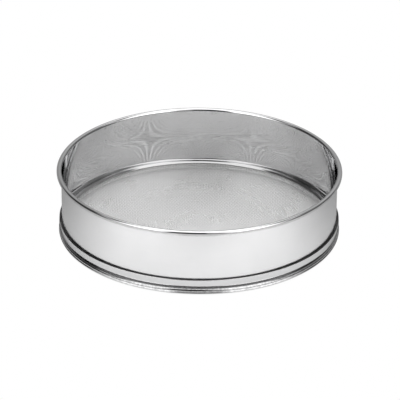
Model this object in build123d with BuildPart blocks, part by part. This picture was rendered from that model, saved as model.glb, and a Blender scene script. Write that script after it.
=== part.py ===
"""Soil sieve: a rolled sheet hoop with a wired rim, a grooved base band, and a lift-out wire mesh.

Millimetres. The origin is the centre of the circle that the sieve stands on, and +Z points up.
Every ring is a strip of sheet whose section is drawn as a centre line in the XZ plane, thickened
to the sheet's gauge and revolved about Z.
"""

from build123d import *
from math import acos, atan2, cos, degrees, hypot, radians, sin
import os

os.makedirs("parts", exist_ok=True)

# Driving dimensions
HOOP_INSIDE_RADIUS = 130.0
OVERALL_HEIGHT = 65.0
SHEET = 0.5
SLACK = 0.05                     # between a wire or folded edge and the sheet it lies against

# Rolled rim at the top of the hoop
RIM_ROLL_RADIUS = 2.45           # outside of the roll
RIM_ROLL_TURN = 312.0            # degrees of roll, which stops just short of the wall

# Folded ledge at the bottom of the hoop
LEDGE_INSIDE_RADIUS = 127.4
LEDGE_EDGE_RADIUS = 129.4        # where the folded-back edge of the sheet ends
FOLD_RADIUS = 0.55               # centre line of each tight bend

# Base band and the rolled bead that the sieve stands on
BAND_OUTSIDE_RADIUS = 132.95
BAND_TOP = 14.4
BAND_LIP_LEAN = 0.1              # how far the top edge leans in towards the hoop
BAND_LIP_HEIGHT = 2.4
BAND_LIP_BEND = 3.0
BEAD_OUTSIDE_RADIUS = 133.35
BEAD_SECTION_RADIUS = 2.8        # outside of the roll
BEAD_FLAT = 0.8                  # width of the flat ring that touches the ground
BEAD_END_ANGLE = 102.0           # where the roll's end stops, under the ledge
GROOVE_ROOT_RADIUS = 129.95      # where the two flanks would meet on the centre line
GROOVE_ROOT_Z = 6.3
GROOVE_LIP_Z = 8.3               # where the upper flank leaves the band's face
GROOVE_ROOT_BEND = 0.45
GROOVE_LIP_BEND = 1.0

# Lift-out mesh: a folded frame ring that grips the edge of the wire cloth
FRAME_OUTSIDE_RADIUS = 129.7
FRAME_INSIDE_RADIUS = 124.4
FRAME_TIP_RISE = 1.45            # free edge of the upper leg above the lower leg
FRAME_CREST_RADIUS = 127.4       # corner of the domed upper leg, before it is rounded
FRAME_CREST_RISE = 2.65
FRAME_SHOULDER_RISE = 1.6        # corner where the upper leg turns down into the web
FRAME_CREST_BEND = 2.6
FRAME_SHOULDER_BEND = 0.7
WIRE_DIAMETER = 0.4
MESH_PITCH = 1.6
MESH_EDGE_RADIUS = 128.6
LAYER_GAP = 0.04                 # between the two layers of wire, which the weave takes up

# Values that follow from the ones above
HALF_SHEET = SHEET / 2
HOOP_MID_RADIUS = HOOP_INSIDE_RADIUS + HALF_SHEET
RIM_PATH_RADIUS = RIM_ROLL_RADIUS - HALF_SHEET
RIM_CENTRE_RADIUS = HOOP_MID_RADIUS + RIM_PATH_RADIUS
RIM_CENTRE_Z = OVERALL_HEIGHT - RIM_ROLL_RADIUS
BEAD_PATH_RADIUS = BEAD_SECTION_RADIUS - HALF_SHEET
BEAD_OUTER_CENTRE = BEAD_OUTSIDE_RADIUS - BEAD_SECTION_RADIUS
BEAD_INNER_CENTRE = BEAD_OUTER_CENTRE - BEAD_FLAT
LEDGE_LOWER_Z = 2 * BEAD_SECTION_RADIUS + SLACK + HALF_SHEET
LEDGE_UPPER_Z = LEDGE_LOWER_Z + 2 * FOLD_RADIUS
LEDGE_TOP = LEDGE_UPPER_Z + HALF_SHEET
LEDGE_FOLD_RADIUS = LEDGE_INSIDE_RADIUS + HALF_SHEET + FOLD_RADIUS
BAND_MID_RADIUS = BAND_OUTSIDE_RADIUS - HALF_SHEET
FRAME_LOWER_Z = LEDGE_TOP + HALF_SHEET
FRAME_WEB_RADIUS = FRAME_OUTSIDE_RADIUS - HALF_SHEET
FRAME_TIP_RADIUS = FRAME_INSIDE_RADIUS + HALF_SHEET
WARP_Z = FRAME_LOWER_Z + HALF_SHEET + SLACK + WIRE_DIAMETER / 2
WEFT_Z = WARP_Z + WIRE_DIAMETER + LAYER_GAP


def tangent_angle(r, z, centre_r, centre_z, radius):
    """Angle, in degrees from outwards, at which a line from (r, z) touches a circle's outer side."""
    reach = hypot(r - centre_r, z - centre_z)
    return degrees(atan2(z - centre_z, r - centre_r) - acos(radius / reach))


def wire_offsets():
    """Sideways places of the parallel wires of one layer, symmetric about the middle."""
    count = int(2 * MESH_EDGE_RADIUS / MESH_PITCH)
    first = -(count - 1) * MESH_PITCH / 2
    return [first + index * MESH_PITCH for index in range(count)]


def save(builder, name):
    """Label a finished piece and write its STEP file."""
    builder.part.label = name
    export_step(builder.part, f"parts/{name}.step")


# Hoop: the wall, with its top edge rolled outwards and its bottom edge folded in to a ledge
with BuildPart() as wall_hoop:
    with BuildSketch(Plane.XZ):
        with BuildLine():
            Line((LEDGE_EDGE_RADIUS, LEDGE_LOWER_Z), (LEDGE_FOLD_RADIUS, LEDGE_LOWER_Z))
            fold_centre = (LEDGE_FOLD_RADIUS, LEDGE_LOWER_Z + FOLD_RADIUS)
            CenterArc(fold_centre, FOLD_RADIUS, 270, -180)
            corner_centre = (HOOP_MID_RADIUS - FOLD_RADIUS, LEDGE_UPPER_Z + FOLD_RADIUS)
            Line((LEDGE_FOLD_RADIUS, LEDGE_UPPER_Z), (corner_centre[0], LEDGE_UPPER_Z))
            CenterArc(corner_centre, FOLD_RADIUS, 270, 90)
            Line((HOOP_MID_RADIUS, corner_centre[1]), (HOOP_MID_RADIUS, RIM_CENTRE_Z))
            CenterArc((RIM_CENTRE_RADIUS, RIM_CENTRE_Z), RIM_PATH_RADIUS, 180, -RIM_ROLL_TURN)
            offset(amount=HALF_SHEET)
        make_face()
    revolve(axis=Axis.Z)
save(wall_hoop, "wall_hoop")

# Stiffening wire inside the rolled rim
with BuildPart() as rim_wire:
    with BuildSketch(Plane.XZ):
        with Locations((RIM_CENTRE_RADIUS, RIM_CENTRE_Z)):
            Circle(RIM_PATH_RADIUS - HALF_SHEET - SLACK)
    revolve(axis=Axis.Z)
save(rim_wire, "rim_wire")

# Base band: it stands off the hoop at the top, is grooved in under the hoop's bottom corner,
# and ends in the rolled bead
bead_start_angle = tangent_angle(
    GROOVE_ROOT_RADIUS, GROOVE_ROOT_Z, BEAD_OUTER_CENTRE, BEAD_SECTION_RADIUS, BEAD_PATH_RADIUS
)
bead_start = (
    BEAD_OUTER_CENTRE + BEAD_PATH_RADIUS * cos(radians(bead_start_angle)),
    BEAD_SECTION_RADIUS + BEAD_PATH_RADIUS * sin(radians(bead_start_angle)),
)
with BuildPart() as base_band:
    with BuildSketch(Plane.XZ):
        with BuildLine():
            FilletPolyline(
                (BAND_MID_RADIUS - BAND_LIP_LEAN, BAND_TOP - HALF_SHEET),
                (BAND_MID_RADIUS, BAND_TOP - HALF_SHEET - BAND_LIP_HEIGHT),
                (BAND_MID_RADIUS, GROOVE_LIP_Z),
                (GROOVE_ROOT_RADIUS, GROOVE_ROOT_Z),
                bead_start,
                radius=[BAND_LIP_BEND, GROOVE_LIP_BEND, GROOVE_ROOT_BEND],
            )
            outer_centre = (BEAD_OUTER_CENTRE, BEAD_SECTION_RADIUS)
            CenterArc(outer_centre, BEAD_PATH_RADIUS, bead_start_angle, -90 - bead_start_angle)
            Line((BEAD_OUTER_CENTRE, HALF_SHEET), (BEAD_INNER_CENTRE, HALF_SHEET))
            inner_centre = (BEAD_INNER_CENTRE, BEAD_SECTION_RADIUS)
            CenterArc(inner_centre, BEAD_PATH_RADIUS, 270, BEAD_END_ANGLE - 270)
            offset(amount=HALF_SHEET)
        make_face()
    revolve(axis=Axis.Z)
save(base_band, "base_band")

# Stiffening wire inside the bead
with BuildPart() as base_wire:
    with BuildSketch(Plane.XZ):
        with Locations(((BEAD_OUTER_CENTRE + BEAD_INNER_CENTRE) / 2, BEAD_SECTION_RADIUS)):
            Circle(BEAD_PATH_RADIUS - HALF_SHEET - SLACK)
    revolve(axis=Axis.Z)
save(base_wire, "base_wire")

# Frame ring of the mesh: a channel, open inwards, with a flat lower leg and a domed upper leg
with BuildPart() as mesh_frame:
    with BuildSketch(Plane.XZ):
        with BuildLine():
            FilletPolyline(
                (FRAME_TIP_RADIUS, FRAME_LOWER_Z),
                (FRAME_WEB_RADIUS, FRAME_LOWER_Z),
                (FRAME_WEB_RADIUS, FRAME_LOWER_Z + FRAME_SHOULDER_RISE),
                (FRAME_CREST_RADIUS, FRAME_LOWER_Z + FRAME_CREST_RISE),
                (FRAME_TIP_RADIUS, FRAME_LOWER_Z + FRAME_TIP_RISE),
                radius=[FOLD_RADIUS, FRAME_SHOULDER_BEND, FRAME_CREST_BEND],
            )
            offset(amount=HALF_SHEET)
        make_face()
    revolve(axis=Axis.Z)
save(mesh_frame, "mesh_frame")

# Wire cloth: the lower layer runs along X and the upper layer along Y
with BuildPart() as mesh_warp_wires:
    with BuildSketch(Plane.YZ):
        with Locations(*[(place, WARP_Z) for place in wire_offsets()]):
            Circle(WIRE_DIAMETER / 2)
    extrude(amount=MESH_EDGE_RADIUS, both=True)
    Cylinder(MESH_EDGE_RADIUS, OVERALL_HEIGHT, mode=Mode.INTERSECT)
save(mesh_warp_wires, "mesh_warp_wires")

with BuildPart() as mesh_weft_wires:
    with BuildSketch(Plane.XZ):
        with Locations(*[(place, WEFT_Z) for place in wire_offsets()]):
            Circle(WIRE_DIAMETER / 2)
    extrude(amount=MESH_EDGE_RADIUS, both=True)
    Cylinder(MESH_EDGE_RADIUS, OVERALL_HEIGHT, mode=Mode.INTERSECT)
save(mesh_weft_wires, "mesh_weft_wires")
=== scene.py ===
"""Looks of the soil sieve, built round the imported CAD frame.

Metres, in the CAD frame: the origin is the centre of the circle that the sieve stands on, +Z is
up, and the camera looks along +Y. The thin rings are drawn again from the same sections as the
CAD, in millimetres, with enough facets to carry clean reflections. The wire cloth is really woven.
"""
import math

import bpy
import numpy as np
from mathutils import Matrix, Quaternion, Vector


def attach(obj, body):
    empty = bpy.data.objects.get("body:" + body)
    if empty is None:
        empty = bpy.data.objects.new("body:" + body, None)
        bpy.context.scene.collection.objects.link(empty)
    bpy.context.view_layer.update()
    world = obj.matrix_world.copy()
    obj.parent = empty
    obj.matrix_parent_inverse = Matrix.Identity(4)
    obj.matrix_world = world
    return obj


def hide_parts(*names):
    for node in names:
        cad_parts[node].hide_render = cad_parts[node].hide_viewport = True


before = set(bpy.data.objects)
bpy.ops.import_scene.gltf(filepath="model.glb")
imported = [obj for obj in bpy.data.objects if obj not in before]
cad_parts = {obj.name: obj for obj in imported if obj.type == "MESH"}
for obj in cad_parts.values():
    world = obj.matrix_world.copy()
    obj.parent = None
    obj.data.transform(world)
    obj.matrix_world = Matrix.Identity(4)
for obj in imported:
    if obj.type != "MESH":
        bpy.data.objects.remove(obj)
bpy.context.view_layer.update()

MM = 0.001

# Dimensions of the sections, millimetres, as in the CAD
SHEET = 0.5
HALF_SHEET = SHEET / 2
HOOP_INSIDE_RADIUS = 130.0
OVERALL_HEIGHT = 65.0
RIM_ROLL_RADIUS = 2.45
RIM_ROLL_TURN = 312.0
LEDGE_INSIDE_RADIUS = 127.4
LEDGE_EDGE_RADIUS = 129.4
FOLD_RADIUS = 0.55
LEDGE_LOWER_Z = 5.9
LEDGE_UPPER_Z = LEDGE_LOWER_Z + 2 * FOLD_RADIUS
BAND_OUTSIDE_RADIUS = 132.95
BAND_TOP = 14.4
BAND_LIP_LEAN = 0.1
BAND_LIP_HEIGHT = 2.4
BAND_LIP_BEND = 3.0
BEAD_OUTSIDE_RADIUS = 133.35
BEAD_SECTION_RADIUS = 2.8
BEAD_FLAT = 0.8
BEAD_END_ANGLE = 102.0
GROOVE_ROOT_RADIUS = 129.95
GROOVE_ROOT_Z = 6.3
GROOVE_LIP_Z = 8.3
GROOVE_ROOT_BEND = 0.45
GROOVE_LIP_BEND = 1.0
FRAME_OUTSIDE_RADIUS = 129.7
FRAME_INSIDE_RADIUS = 124.4
FRAME_LOWER_Z = LEDGE_UPPER_Z + SHEET
FRAME_TIP_RISE = 1.45
FRAME_CREST_RADIUS = 127.4
FRAME_CREST_RISE = 2.65
FRAME_SHOULDER_RISE = 1.6
FRAME_CREST_BEND = 2.6
FRAME_SHOULDER_BEND = 0.7
WIRE_RADIUS = 0.2
MESH_PITCH = 1.6
MESH_EDGE_RADIUS = 128.6
WEAVE_MID_Z = 8.22                   # middle height of the cloth
WEAVE_RISE = 0.22                    # how far each wire goes above and below it

# Fineness of the meshes
ARC_STEP = 9.0                       # degrees between points along a bend
EDGE_STEPS = 5                       # facets round the rounded edge of the sheet
HOLD = 0.12                          # millimetres from a bend to a point that keeps the straight flat
SAME_POINT = 1e-4                    # millimetres between points that count as one
MITRE_LIMIT = 0.5                    # keeps the outline's corners from running far out
RING_SEGMENTS = 480
WIRE_SIDES = 6
WIRE_STEPS_PER_PITCH = 2
SHORTEST_STEP = WIRE_RADIUS / 4      # between points along a wire
CLOTH_PARTS = 4                      # pieces that each layer of wires is shared between


# ---------------------------------------------------------------- sections
def arc_points(centre, radius, start, sweep):
    """Points along an arc. Its start and its sweep are in degrees."""
    count = max(2, int(abs(sweep) / ARC_STEP) + 1)
    angles = np.radians(start + sweep * np.arange(count + 1) / count)
    return [(centre[0] + radius * math.cos(a), centre[1] + radius * math.sin(a)) for a in angles]


def line_points(start, end):
    """A straight run, with a point just inside each end so that smooth shading keeps it flat."""
    start = np.array(start)
    end = np.array(end)
    length = np.linalg.norm(end - start)
    if length < 4 * HOLD:
        return [tuple(start), tuple(end)]
    step = (end - start) / length * HOLD
    return [tuple(start), tuple(start + step), tuple(end - step), tuple(end)]


def join(*runs):
    """One path from runs that follow on, without the repeated points where they meet."""
    path = []
    for run in runs:
        for point in run:
            if not path or math.dist(path[-1], point) > SAME_POINT:
                path.append(point)
    return path


def bent_points(corners, bends):
    """A path through corners, with a round bend of the given radius at each inner one."""
    runs = []
    start = np.array(corners[0], float)
    for index, bend in enumerate(bends, start=1):
        corner = np.array(corners[index], float)
        before = np.array(corners[index - 1], float) - corner
        after = np.array(corners[index + 1], float) - corner
        before /= np.linalg.norm(before)
        after /= np.linalg.norm(after)
        half = math.acos(np.clip(before @ after, -1, 1)) / 2
        reach = bend / math.tan(half)
        first = corner + before * reach
        last = corner + after * reach
        inwards = (before + after) / np.linalg.norm(before + after)
        middle = corner + inwards * bend / math.sin(half)
        begin = math.degrees(math.atan2(*(first - middle)[::-1]))
        sweep = math.degrees(math.atan2(*(last - middle)[::-1])) - begin
        sweep = (sweep + 180) % 360 - 180
        runs.append(line_points(start, first))
        runs.append(arc_points(middle, bend, begin, sweep))
        start = last
    runs.append(line_points(start, corners[-1]))
    return join(*runs)


def sheet_section(path):
    """The closed outline of sheet metal that follows a path, with rounded edges."""
    path = np.array(path)
    steps = np.diff(path, axis=0)
    steps /= np.linalg.norm(steps, axis=1)[:, None]
    along = np.vstack([steps[:1], steps[:-1] + steps[1:], steps[-1:]])
    along /= np.linalg.norm(along, axis=1)[:, None]
    across = np.stack([-along[:, 1], along[:, 0]], axis=1)
    stretch = np.ones(len(path))
    stretch[1:-1] = 1 / np.maximum(MITRE_LIMIT, np.sum(along[1:-1] * steps[1:], axis=1))
    side = across * (HALF_SHEET * stretch)[:, None]

    def edge(point, out, turn):
        angles = np.radians(90 - 180 * np.arange(1, EDGE_STEPS) / EDGE_STEPS)
        return [point + HALF_SHEET * (math.cos(a) * out + math.sin(a) * turn) for a in angles]

    outline = list(path + side)
    outline += edge(path[-1], along[-1], across[-1])
    outline += list((path - side)[::-1])
    outline += edge(path[0], -along[0], -across[0])
    return np.array(outline)


def tangent_angle(point, centre, radius):
    """Angle, from outwards, at which a line from the point touches a circle's outer side."""
    heading = math.atan2(point[1] - centre[1], point[0] - centre[0])
    return math.degrees(heading - math.acos(radius / math.dist(point, centre)))


def hoop_path():
    """The wall, with its top edge rolled outwards and its bottom edge folded in to a ledge."""
    mid = HOOP_INSIDE_RADIUS + HALF_SHEET
    roll = RIM_ROLL_RADIUS - HALF_SHEET
    roll_centre = (mid + roll, OVERALL_HEIGHT - RIM_ROLL_RADIUS)
    fold_centre = (LEDGE_INSIDE_RADIUS + HALF_SHEET + FOLD_RADIUS, LEDGE_LOWER_Z + FOLD_RADIUS)
    corner_centre = (mid - FOLD_RADIUS, LEDGE_UPPER_Z + FOLD_RADIUS)
    return join(
        line_points((LEDGE_EDGE_RADIUS, LEDGE_LOWER_Z), (fold_centre[0], LEDGE_LOWER_Z)),
        arc_points(fold_centre, FOLD_RADIUS, 270, -180),
        line_points((fold_centre[0], LEDGE_UPPER_Z), (corner_centre[0], LEDGE_UPPER_Z)),
        arc_points(corner_centre, FOLD_RADIUS, 270, 90),
        line_points((mid, corner_centre[1]), (mid, roll_centre[1])),
        arc_points(roll_centre, roll, 180, -RIM_ROLL_TURN),
    )


def band_path():
    """The base band: an open lip, the face, the groove and the rolled bead."""
    mid = BAND_OUTSIDE_RADIUS - HALF_SHEET
    top = BAND_TOP - HALF_SHEET
    roll = BEAD_SECTION_RADIUS - HALF_SHEET
    outer = (BEAD_OUTSIDE_RADIUS - BEAD_SECTION_RADIUS, BEAD_SECTION_RADIUS)
    inner = (outer[0] - BEAD_FLAT, BEAD_SECTION_RADIUS)
    root = (GROOVE_ROOT_RADIUS, GROOVE_ROOT_Z)
    begin = tangent_angle(root, outer, roll)
    turn = math.radians(begin)
    start = (outer[0] + roll * math.cos(turn), outer[1] + roll * math.sin(turn))
    lip = (mid - BAND_LIP_LEAN, top)
    corners = [lip, (mid, top - BAND_LIP_HEIGHT), (mid, GROOVE_LIP_Z), root, start]
    return join(
        bent_points(corners, [BAND_LIP_BEND, GROOVE_LIP_BEND, GROOVE_ROOT_BEND]),
        arc_points(outer, roll, begin, -90 - begin),
        line_points((outer[0], HALF_SHEET), (inner[0], HALF_SHEET)),
        arc_points(inner, roll, 270, BEAD_END_ANGLE - 270),
    )


def frame_path():
    """The mesh's frame ring: a channel with a flat lower leg and a domed upper leg."""
    web = FRAME_OUTSIDE_RADIUS - HALF_SHEET
    tip = FRAME_INSIDE_RADIUS + HALF_SHEET
    low = FRAME_LOWER_Z
    return bent_points(
        [
            (tip, low),
            (web, low),
            (web, low + FRAME_SHOULDER_RISE),
            (FRAME_CREST_RADIUS, low + FRAME_CREST_RISE),
            (tip, low + FRAME_TIP_RISE),
        ],
        [FOLD_RADIUS, FRAME_SHOULDER_BEND, FRAME_CREST_BEND],
    )


# ---------------------------------------------------------------- meshes
def mesh_piece(name, vertices, quads, material, body, slot, node):
    """A smooth mesh of quads that stands for a CAD node and rides on its body."""
    mesh = bpy.data.meshes.new(name)
    mesh.vertices.add(len(vertices))
    mesh.vertices.foreach_set("co", np.asarray(vertices, np.float32).ravel())
    mesh.loops.add(quads.size)
    mesh.loops.foreach_set("vertex_index", quads.astype(np.int32).ravel())
    mesh.polygons.add(len(quads))
    mesh.polygons.foreach_set("loop_start", np.arange(0, quads.size, 4, dtype=np.int32))
    mesh.update(calc_edges=True)
    mesh.validate()
    mesh.polygons.foreach_set("use_smooth", np.ones(len(mesh.polygons), bool))
    mesh.materials.append(material)
    piece = bpy.data.objects.new(name, mesh)
    bpy.context.scene.collection.objects.link(piece)
    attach(piece, body)
    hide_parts(node)


def anticlockwise(section):
    """The outline in the order that makes the turned faces look outwards."""
    x = section[:, 0]
    y = section[:, 1]
    area = np.sum(x * np.roll(y, -1) - np.roll(x, -1) * y)
    return section if area > 0 else section[::-1]


def revolved(section):
    """Vertices and quads of a closed outline in radius and height, turned about Z."""
    section = anticlockwise(section) * MM
    count = len(section)
    turn = 2 * math.pi * np.arange(RING_SEGMENTS) / RING_SEGMENTS
    columns = [
        np.outer(np.cos(turn), section[:, 0]),
        np.outer(np.sin(turn), section[:, 0]),
        np.tile(section[:, 1], (RING_SEGMENTS, 1)),
    ]
    vertices = np.stack(columns, axis=2).reshape(-1, 3)
    here = np.arange(count)[None, :]
    after = (here + 1) % count
    ring = np.arange(RING_SEGMENTS)[:, None] * count
    following = np.roll(ring, -1, axis=0)
    quads = np.stack([ring + here, following + here, following + after, ring + after], axis=2)
    return vertices, quads.reshape(-1, 4)


def wire_tube(points):
    """Vertices and quads of a wire along points, in metres, with flat closed ends."""
    along = np.gradient(points, axis=0)
    along /= np.linalg.norm(along, axis=1)[:, None]
    level = np.cross(along, [0.0, 0.0, 1.0])
    level /= np.linalg.norm(level, axis=1)[:, None]
    up = np.cross(level, along)
    turn = 2 * math.pi * (np.arange(WIRE_SIDES) + 0.5) / WIRE_SIDES
    spokes = np.cos(turn)[None, :, None] * level[:, None, :]
    spokes = spokes + np.sin(turn)[None, :, None] * up[:, None, :]
    vertices = (points[:, None, :] + WIRE_RADIUS * MM * spokes).reshape(-1, 3)
    here = np.arange(WIRE_SIDES)[None, :]
    after = (here + 1) % WIRE_SIDES
    ring = np.arange(len(points) - 1)[:, None] * WIRE_SIDES
    further = ring + WIRE_SIDES
    sides = np.stack([ring + here, further + here, further + after, ring + after], axis=2)
    sides = sides.reshape(-1, 4)
    cap = np.array([(0, k, k + 1, k + 2) for k in range(1, WIRE_SIDES - 2, 2)])
    last = len(vertices) - WIRE_SIDES
    return vertices, np.concatenate([sides, cap, cap[:, ::-1] + last])


def woven_wires(along_x):
    """One tube for each wire of a layer, going over and under the wires that it crosses."""
    count = int(2 * MESH_EDGE_RADIUS / MESH_PITCH)
    places = (np.arange(count) - (count - 1) / 2) * MESH_PITCH
    step = MESH_PITCH / WIRE_STEPS_PER_PITCH
    sign = 1.0 if along_x else -1.0
    tubes = []
    for index, place in enumerate(places):
        half = math.sqrt(MESH_EDGE_RADIUS**2 - place**2) - WIRE_RADIUS
        first = math.ceil((-half - places[0]) / step)
        last = math.floor((half - places[0]) / step)
        run = places[0] + step * np.arange(first, last + 1)
        run = np.concatenate([[-half], run, [half]])
        run = run[np.concatenate([[True], np.diff(run) > SHORTEST_STEP])]
        rise = sign * (-1) ** index * WEAVE_RISE * np.cos(np.pi * (run - places[0]) / MESH_PITCH)
        across = np.full(len(run), place)
        height = WEAVE_MID_Z + rise
        points = np.stack([run, across, height] if along_x else [across, run, height], axis=1)
        tubes.append(wire_tube(points * MM))
    return tubes


def joined(tubes):
    """One set of vertices and quads from many tubes."""
    starts = np.cumsum([0] + [len(points) for points, _ in tubes[:-1]])
    vertices = np.concatenate([points for points, _ in tubes])
    quads = np.concatenate([faces + start for (_, faces), start in zip(tubes, starts)])
    return vertices, quads


# ---------------------------------------------------------------- materials
class Graph:
    """Short calls for building a node tree."""

    def __init__(self, tree):
        self.tree = tree
        tree.nodes.clear()

    def node(self, kind, inputs=(), **settings):
        """A node whose inputs, by name or number, are set to values or joined to sockets."""
        made = self.tree.nodes.new(kind)
        for name, value in settings.items():
            setattr(made, name, value)
        for name, value in dict(inputs).items():
            if isinstance(value, bpy.types.NodeSocket):
                self.tree.links.new(value, made.inputs[name])
            else:
                made.inputs[name].default_value = value
        return made

    def maths(self, operation, *values):
        """The result of one maths node on values or sockets."""
        return self.node("ShaderNodeMath", enumerate(values), operation=operation).outputs[0]

    def ramp(self, value, start, end, low=0.0, high=1.0, shape="SMOOTHSTEP"):
        """Goes from low to high, and no further, as the value goes from start to end."""
        inputs = {"Value": value, "From Min": start, "From Max": end, "To Min": low, "To Max": high}
        return self.node("ShaderNodeMapRange", inputs, interpolation_type=shape).outputs[0]

    def scaled(self, vector, amount):
        """A vector or colour times an amount."""
        inputs = {0: vector, "Scale": amount}
        return self.node("ShaderNodeVectorMath", inputs, operation="SCALE").outputs[0]


class Steel:
    """Sheet or wire of stainless steel, with rolling lines, soft clouds and hairline rub marks.

    The swing is how far the roughness goes either way, lines is how many of them a metre holds
    across the strip, and line_depth is their depth in metres.
    """

    LINE_STRETCH = 14.0              # lines per metre along the ring, against hundreds across it
    LINE_DETAIL = 3.0
    LINE_ROUGHNESS = 0.65            # of the noise, not of the steel
    LINE_TONES = (0.985, 1.015)
    CLOUD_SCALE = 28.0
    CLOUD_DETAIL = 4.0
    CLOUD_TONES = (0.97, 1.03)
    RUB_SCALE = 160.0
    RUB_DETAIL = 1.0
    RUB_WIDTH = 0.012                # share of the noise that counts as a rub mark
    RUB_SHADE = 0.03
    NOISE_RANGE = (0.3, 0.7)         # where nearly all of a noise's values lie

    def __init__(self, name, colour, roughness, swing, lines, line_depth):
        self.material = bpy.data.materials.new(name)
        self.material.use_nodes = True
        self.graph = graph = Graph(self.material.node_tree)
        self.line_depth = line_depth
        self.place = place = graph.node("ShaderNodeTexCoord").outputs["Object"]
        x, y, self.z = graph.node("ShaderNodeSeparateXYZ", {0: place}).outputs
        squares = graph.maths("ADD", graph.maths("MULTIPLY", x, x), graph.maths("MULTIPLY", y, y))
        self.radius = graph.maths("SQRT", squares)
        scale = (self.LINE_STRETCH, self.LINE_STRETCH, lines)
        stretched = graph.node("ShaderNodeMapping", {"Vector": place, "Scale": scale})
        self.lines = graph.node(
            "ShaderNodeTexNoise",
            {
                "Vector": stretched.outputs[0],
                "W": graph.maths("MULTIPLY", self.radius, lines),
                "Scale": 1.0,
                "Detail": self.LINE_DETAIL,
                "Roughness": self.LINE_ROUGHNESS,
            },
            noise_dimensions="4D",
        ).outputs["Fac"]
        clouds = self.noise(place, self.CLOUD_SCALE, self.CLOUD_DETAIL)
        rubbed = self.noise(place, self.RUB_SCALE, self.RUB_DETAIL)
        rubbed = graph.maths("ABSOLUTE", graph.maths("SUBTRACT", rubbed, 0.5))
        rubs = graph.ramp(rubbed, 0.0, self.RUB_WIDTH, 1.0, 0.0)
        self.roughness = graph.maths(
            "ADD",
            self.spread(self.lines, -swing, swing),
            graph.maths(
                "ADD",
                self.spread(clouds, roughness - swing, roughness + swing),
                graph.maths("MULTIPLY", rubs, swing),
            ),
        )
        line_tone = self.spread(self.lines, *self.LINE_TONES)
        cloud_tone = self.spread(clouds, *self.CLOUD_TONES)
        rub_tone = graph.maths("SUBTRACT", 1.0, graph.maths("MULTIPLY", rubs, self.RUB_SHADE))
        tone = graph.maths("MULTIPLY", graph.maths("MULTIPLY", line_tone, cloud_tone), rub_tone)
        self.colour = graph.scaled(colour, tone)

    def noise(self, place, scale, detail):
        """A soft random pattern from 0 to 1."""
        inputs = {"Vector": place, "Scale": scale, "Detail": detail}
        return self.graph.node("ShaderNodeTexNoise", inputs).outputs["Fac"]

    def spread(self, value, low, high):
        """Turns a noise, which keeps near its middle, into the range from low to high."""
        return self.graph.ramp(value, *self.NOISE_RANGE, low, high, "LINEAR")

    def darken(self, where, share):
        """Takes a share of the colour away where the mark is 1."""
        kept = self.graph.maths("MULTIPLY_ADD", where, -share, 1.0)
        self.colour = self.graph.scaled(self.colour, kept)

    def finish(self):
        """Joins the colour, roughness and bump to the shader, and gives the material."""
        graph = self.graph
        inputs = {"Height": self.lines, "Strength": 1.0, "Distance": self.line_depth}
        bump = graph.node("ShaderNodeBump", inputs)
        shader = graph.node(
            "ShaderNodeBsdfPrincipled",
            {
                "Base Color": self.colour,
                "Roughness": self.roughness,
                "Normal": bump.outputs[0],
                "Metallic": 1.0,
            },
        )
        graph.node("ShaderNodeOutputMaterial", {"Surface": shader.outputs[0]})
        return self.material


# Lines of the steel per metre, and marks on it: each pair is where a mark comes or goes, as a
# height or radius in metres
FINE_LINES = 900.0                   # rolling lines per metre across the strip
DRAWN_LINES = 400.0                  # drawing lines of the thin wires
CORE_LINES = 600.0
PLAIN_LINE_DEPTH = 0.000002
HOOP_OUTSIDE = (0.13015, 0.13035)
SATIN_TOP = (0.0598, 0.0606)
SATIN_ROUGHNESS = 0.17
GAP_TOP = (0.0140, 0.0145)
GAP_ROUGHNESS = 0.15
# A painted reflection: a dark line round the outside of the rim, between these heights and beyond this
# radius
RIM_LINE_BOTTOM = (0.0612, 0.0618)
RIM_LINE_TOP = (0.0624, 0.0630)
RIM_LINE_RADIUS = (0.1330, 0.1336)
RIM_PAINTED_REFLECTION_SHADE = 0.3
FOOT_TOP = (0.0046, 0.0060)
FOOT_ROUGHNESS = 0.04
BLOTCH_SCALE = 420.0
BLOTCH_DETAIL = 3.0
BLOTCH_TONES = (0.55, 1.0)
# Painted shade in the groove between the band's face and the foot bead, between these heights
GROOVE_SHADE_BOTTOM = (0.0050, 0.0056)
GROOVE_SHADE_TOP = (0.0062, 0.0068)
GROOVE_PAINTED_SHADE = 0.7


def hoop_steel():
    """Mirror bright inside and on the rolled rim, and satin on the outside of the wall.

    The satin is duller still behind the base band, and a faint dark line round the outside of the rim
    is a painted reflection.
    """
    steel = Steel(
        "hoop_steel",
        colour=(0.725, 0.725, 0.73),
        roughness=0.042,
        swing=0.01,
        lines=FINE_LINES,
        line_depth=0.0000002,
    )
    graph = steel.graph
    outside = graph.ramp(steel.radius, *HOOP_OUTSIDE)
    under_rim = graph.ramp(steel.z, *SATIN_TOP, 1.0, 0.0)
    satin = graph.maths("MULTIPLY", graph.maths("MULTIPLY", outside, under_rim), SATIN_ROUGHNESS)
    in_gap = graph.maths("MULTIPLY", outside, graph.ramp(steel.z, *GAP_TOP, GAP_ROUGHNESS, 0.0))
    steel.roughness = graph.maths("ADD", steel.roughness, graph.maths("ADD", satin, in_gap))
    # painted reflection: a dark line round the outside of the rim
    line = graph.ramp(steel.z, *RIM_LINE_BOTTOM)
    line = graph.maths("MULTIPLY", line, graph.ramp(steel.z, *RIM_LINE_TOP, 1.0, 0.0))
    line = graph.maths("MULTIPLY", line, graph.ramp(steel.radius, *RIM_LINE_RADIUS))
    steel.darken(line, RIM_PAINTED_REFLECTION_SHADE)
    return steel.finish()


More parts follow.
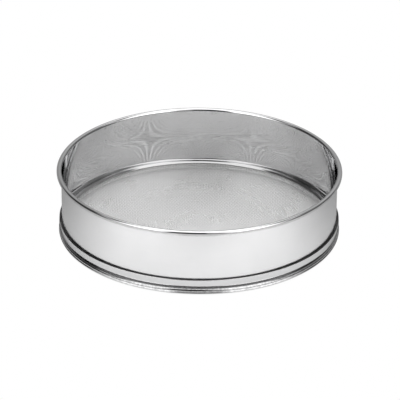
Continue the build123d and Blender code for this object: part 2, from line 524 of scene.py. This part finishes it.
def band_steel():
    """Bright face, painted shade in the groove above the foot, and a foot darker in random blotches."""
    steel = Steel(
        "band_steel",
        colour=(0.62, 0.62, 0.625),
        roughness=0.07,
        swing=0.02,
        lines=FINE_LINES,
        line_depth=0.000001,
    )
    graph = steel.graph
    # the foot, below these heights, is darker in random blotches
    foot = graph.ramp(steel.z, *FOOT_TOP, 1.0, 0.0)
    blotches = steel.spread(steel.noise(steel.place, BLOTCH_SCALE, BLOTCH_DETAIL), *BLOTCH_TONES)
    steel.darken(graph.maths("MULTIPLY", foot, graph.maths("SUBTRACT", 1.0, blotches)), 1.0)
    # painted shade in the groove
    groove_shade = graph.maths(
        "MULTIPLY", graph.ramp(steel.z, *GROOVE_SHADE_BOTTOM), graph.ramp(steel.z, *GROOVE_SHADE_TOP, 1.0, 0.0)
    )
    steel.darken(groove_shade, GROOVE_PAINTED_SHADE)
    steel.roughness = graph.maths("ADD", steel.roughness, graph.maths("MULTIPLY", foot, FOOT_ROUGHNESS))
    return steel.finish()


def plain_steel(name, grey, roughness, swing, lines):
    """Steel with nothing but its rolling or drawing lines, for the frame ring and the wires."""
    return Steel(name, (grey, grey, grey), roughness, swing, lines, PLAIN_LINE_DEPTH).finish()


# ---------------------------------------------------------------- pieces
def ring_piece(name, path, material, body, slot, node):
    """A ring of sheet metal that follows a path in section."""
    mesh_piece(name, *revolved(sheet_section(path)), material, body, slot, node)


def cloth_pieces(title, along_x, material, node):
    """One layer of wires, shared evenly between a few pieces."""
    tubes = woven_wires(along_x)
    sizes = np.cumsum([len(faces) for _, faces in tubes])
    share = (sizes * CLOTH_PARTS / (sizes[-1] + 1)).astype(int)
    for part in range(CLOTH_PARTS):
        chosen = [tube for tube, group in zip(tubes, share) if group == part]
        name = f"woven_{title}_{part + 1}"
        mesh_piece(name, *joined(chosen), material, "mesh_insert", "mesh_wire_steel", node)


ring_piece("hoop_wall_and_rim", hoop_path(), hoop_steel(), "hoop", "hoop_steel", "wall_hoop")
ring_piece("grooved_base_band", band_path(), band_steel(), "hoop", "band_steel", "base_band")
frame_steel = plain_steel("frame_steel", grey=0.64, roughness=0.09, swing=0.03, lines=FINE_LINES)
ring_piece("mesh_frame_ring", frame_path(), frame_steel, "mesh_insert", "frame_steel", "mesh_frame")
cloth_steel = plain_steel("mesh_wire_steel", grey=0.76, roughness=0.3, swing=0.05, lines=DRAWN_LINES)
cloth_pieces("warp", True, cloth_steel, "mesh_warp_wires")
cloth_pieces("weft", False, cloth_steel, "mesh_weft_wires")

core_steel = plain_steel("core_wire_steel", grey=0.35, roughness=0.35, swing=0.05, lines=CORE_LINES)
for core in ("rim_wire", "base_wire"):
    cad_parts[core].data.materials.clear()
    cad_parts[core].data.materials.append(core_steel)

# ---------------------------------------------------------------- floor, light and camera
FLOOR_REACH = 12.0
FLOOR_DROP = 0.00005                 # keeps the floor clear of the foot that stands on it
FLOOR_GREY = 0.36
UNDER_MESH_GREY = 0.75
UNDER_MESH_RADIUS = 0.1301           # the middle of the flat that the sieve stands on
CONTACT_REACH = 0.1335               # the floor shows plain white beyond this radius
# A painted contact shadow round the foot, seen by the camera
CONTACT_SHADE = 0.3                  # how bright it shows where the foot touches it
# Round the foot, for reflections only, the floor has painted shade at the sides and back and painted
# light in front
FOOT_EDGE = 0.136
FOOT_REACH = 0.143                   # the floor is its plain grey beyond this radius
FOOT_PAINTED_LIGHT_GREY = 0.75
FOOT_PAINTED_SHADE_MIDDLE = 0.2
FOOT_PAINTED_SHADE_BACK = 0.03
FOOT_MIDDLE_X = (0.018, 0.032)       # to each side, where the middle's grey turns into the front's
FOOT_BACK_Y = (-0.120, -0.080)       # where the front's grey turns into the back's

# Soft pools of light on the floor, watts, metres and degrees
POOL_POWER = 0.74
POOL_SPREAD = 46.0
POOL_SIZE = 0.20
POOL_DISTANCE = 0.6
POOL_AZIMUTH = 38.0
POOL_ELEVATION = 70.0
POOL_REACH = 0.255

# The studio that the metal reflects. Each pair is the degrees between which a light comes or
# goes: azimuth from the camera's side, turning to the right, and elevation above the floor.
CEILING = 1.4
CEILING_EDGE = (40.0, 58.0)
CEILING_SIDES = (74.0, 97.0)
CEILING_SIDES_RISE = 22.0            # how much higher the ceiling's edge is at the sides
CEILING_BACK = (130.0, 152.0)
CEILING_BACK_DROP = -23.0            # how much it comes down again from there to the back
CEILING_GAP = ((-28.0, -14.0), (8.0, 22.0), (0.0, 1.0), (58.0, 72.0))
BOXES = 1.5
LEFT_BOX = ((-84.0, -60.0), (-32.0, -14.0), (5.0, 12.0), (44.0, 60.0))
RIGHT_BOX = ((16.0, 32.0), (60.0, 82.0), (5.0, 12.0), (44.0, 60.0))
CHEEKS = 1.1
CHEEK_EDGES = ((80.0, 88.0), (95.0, 102.0), (32.0, 38.0), (42.0, 48.0))
SIDE_LEFT = 0.08
SIDE_RIGHT = 0.30
SIDE_TURN = (-0.7, 0.8)              # from the left to the right, as a share of straight sideways
SIDE_FADE = (10.0, 40.0)
SIDE_LOW = 0.3                       # share of the sides' light that is left near the floor
FRONT = 0.25
FRONT_TURN = (-0.2, -0.85)           # the same, of straight towards the camera's side
BACK = 0.3
BACK_TURN = (120.0, 150.0)
DARK_GAP = ((-32.0, -22.0), (5.0, 7.5), (8.0, 14.0), (48.0, 60.0))
DARK_GAP_SHARE = 0.95


def add_object(name, data):
    """A new object in the scene, which is no part of the sieve."""
    made = bpy.data.objects.new(name, data)
    bpy.context.scene.collection.objects.link(made)
    return made


def towards(azimuth, elevation):
    """Unit vector: azimuth in degrees from the camera's side, turning to the right."""
    side = math.radians(azimuth)
    rise = math.radians(elevation)
    level = math.cos(rise)
    return Vector((math.sin(side) * level, -math.cos(side) * level, math.sin(rise)))


def floor_material():
    """Grey to light and reflections, and plain white to the camera, as on a lit table.

    Under the mesh it is pale grey to the camera too, and a narrow contact shade is painted round the
    foot. Round the foot, in reflections only, the floor has painted shade at the sides and back and
    painted light in front.
    """
    material = bpy.data.materials.new("floor")
    material.use_nodes = True
    graph = Graph(material.node_tree)
    place = graph.node("ShaderNodeNewGeometry").outputs["Position"]
    radius = graph.node("ShaderNodeVectorMath", {0: place}, operation="LENGTH").outputs["Value"]
    outside = graph.maths("GREATER_THAN", radius, UNDER_MESH_RADIUS)
    x, y, _ = graph.node("ShaderNodeSeparateXYZ", {0: place}).outputs
    sideways = graph.maths("ABSOLUTE", x)
    # painted shade and light on the floor round the foot, seen only in reflections
    middle = graph.ramp(sideways, *FOOT_MIDDLE_X, FOOT_PAINTED_SHADE_MIDDLE, FOOT_PAINTED_LIGHT_GREY)
    painted_foot_light_and_shade = graph.ramp(y, *FOOT_BACK_Y, middle, FOOT_PAINTED_SHADE_BACK)
    lit = graph.ramp(radius, FOOT_EDGE, FOOT_REACH, painted_foot_light_and_shade, FLOOR_GREY)
    under = graph.maths("SUBTRACT", 1.0, outside)
    grey = graph.maths("MULTIPLY_ADD", under, UNDER_MESH_GREY, graph.maths("MULTIPLY", outside, lit))
    tint = graph.scaled((1.0, 1.0, 1.0), grey)
    matt = graph.node("ShaderNodeBsdfDiffuse", {"Color": tint})
    seen = graph.node("ShaderNodeLightPath").outputs["Is Camera Ray"]
    contact = graph.ramp(radius, UNDER_MESH_RADIUS, CONTACT_REACH, CONTACT_SHADE, 1.0)
    plain = graph.node("ShaderNodeEmission", {"Strength": contact})
    share = graph.maths("MULTIPLY", outside, seen)
    mixed = graph.node("ShaderNodeMixShader", {0: share, 1: matt.outputs[0], 2: plain.outputs[0]})
    graph.node("ShaderNodeOutputMaterial", {"Surface": mixed.outputs[0]})
    return material


floor_mesh = bpy.data.meshes.new("floor")
floor_corners = [
    (-FLOOR_REACH, -FLOOR_REACH, 0),
    (FLOOR_REACH, -FLOOR_REACH, 0),
    (FLOOR_REACH, FLOOR_REACH, 0),
    (-FLOOR_REACH, FLOOR_REACH, 0),
]
floor_mesh.from_pydata(floor_corners, [], [(0, 1, 2, 3)])
floor_mesh.materials.append(floor_material())
floor = add_object("floor", floor_mesh)
floor.location.z = -FLOOR_DROP


def pool_light(name, azimuth):
    """A soft pool of light on the floor in front, which doesn't show in the metal."""
    light = bpy.data.lights.new(name, "AREA")
    light.size = POOL_SIZE
    light.energy = POOL_POWER
    light.spread = math.radians(POOL_SPREAD)
    holder = add_object(name, light)
    holder.visible_glossy = False
    holder.visible_camera = False
    up = towards(azimuth, POOL_ELEVATION)
    holder.location = towards(azimuth, 0.0) * POOL_REACH + up * POOL_DISTANCE
    holder.rotation_mode = "QUATERNION"
    holder.rotation_quaternion = up.to_track_quat("Z", "Y")


pool_light("floor_pool_left", -POOL_AZIMUTH)
pool_light("floor_pool_right", POOL_AZIMUTH)


def studio_world():
    """What the metal reflects: a ceiling, two soft boxes in front, and dim sides, front and back.

    The camera itself sees plain white.
    """
    world = bpy.data.worlds.new("studio")
    world.use_nodes = True
    graph = Graph(world.node_tree)
    direction = graph.node("ShaderNodeTexCoord").outputs["Generated"]
    x, y, z = graph.node("ShaderNodeSeparateXYZ", {0: direction}).outputs
    to_degrees = 180 / math.pi
    turn = graph.maths("ARCTAN2", x, graph.maths("MULTIPLY", y, -1.0))
    azimuth = graph.maths("MULTIPLY", turn, to_degrees)
    elevation = graph.maths("MULTIPLY", graph.maths("ARCSINE", z), to_degrees)
    turned = graph.maths("ABSOLUTE", azimuth)

    def product(*values):
        total = values[0]
        for value in values[1:]:
            total = graph.maths("MULTIPLY", total, value)
        return total

    def panel(across, left, right, bottom, top):
        """One soft-edged panel: each edge is a pair of degrees between which it comes or goes."""
        return product(
            graph.ramp(across, *left),
            graph.ramp(across, *right, 1.0, 0.0),
            graph.ramp(elevation, *bottom),
            graph.ramp(elevation, *top, 1.0, 0.0),
        )

    def without(light, share, edges):
        """Takes away a share of the light behind a panel."""
        kept = graph.maths("SUBTRACT", 1.0, graph.maths("MULTIPLY", panel(azimuth, *edges), share))
        return product(light, kept)

    sides_rise = graph.ramp(turned, *CEILING_SIDES, 0.0, CEILING_SIDES_RISE)
    back_drop = graph.ramp(turned, *CEILING_BACK, 0.0, CEILING_BACK_DROP)
    raised = graph.maths("ADD", sides_rise, back_drop)
    ceiling = product(graph.ramp(graph.maths("SUBTRACT", elevation, raised), *CEILING_EDGE), CEILING)
    ceiling = without(ceiling, 1.0, CEILING_GAP)
    left_box = panel(azimuth, *LEFT_BOX)
    right_box = panel(azimuth, *RIGHT_BOX)
    boxes = product(graph.maths("ADD", left_box, right_box), BOXES)
    cheeks = product(panel(turned, *CHEEK_EDGES), CHEEKS)
    sides = product(
        graph.ramp(x, *SIDE_TURN, SIDE_LEFT, SIDE_RIGHT),
        graph.ramp(elevation, *SIDE_FADE, SIDE_LOW, 1.0),
    )
    front = graph.ramp(y, *FRONT_TURN, 0.0, FRONT)
    behind = graph.ramp(turned, *BACK_TURN, 0.0, BACK)
    total = graph.maths("ADD", graph.maths("ADD", ceiling, boxes), graph.maths("ADD", sides, front))
    total = graph.maths("ADD", total, graph.maths("ADD", cheeks, behind))
    total = without(total, DARK_GAP_SHARE, DARK_GAP)
    seen = graph.node("ShaderNodeLightPath").outputs["Is Camera Ray"]
    shown = graph.maths("ADD", product(total, graph.maths("SUBTRACT", 1.0, seen)), seen)
    background = graph.node("ShaderNodeBackground", {"Color": shown})
    graph.node("ShaderNodeOutputWorld", {"Surface": background.outputs[0]})
    return world


bpy.context.scene.world = studio_world()
bpy.context.scene.view_settings.view_transform = "Standard"

CAMERA_DISTANCE = 3.059
CAMERA_ELEVATION = 26.60
CAMERA_TARGET = (0.000746, 0.0, 0.0304)
CAMERA_ROLL = math.radians(0.46)
CAMERA_LENS = 290.0
CAMERA_SENSOR = 36.0
CAMERA_REACH = 40.0
camera_data = bpy.data.cameras.new("camera")
camera_data.lens = CAMERA_LENS
camera_data.sensor_width = CAMERA_SENSOR
camera_data.clip_end = CAMERA_REACH
camera = add_object("camera", camera_data)
back = towards(0.0, CAMERA_ELEVATION)
camera.location = Vector(CAMERA_TARGET) + back * CAMERA_DISTANCE
camera.rotation_mode = "QUATERNION"
camera.rotation_quaternion = back.to_track_quat("Z", "Y") @ Quaternion((0, 0, 1), CAMERA_ROLL)
bpy.context.scene.camera = camera
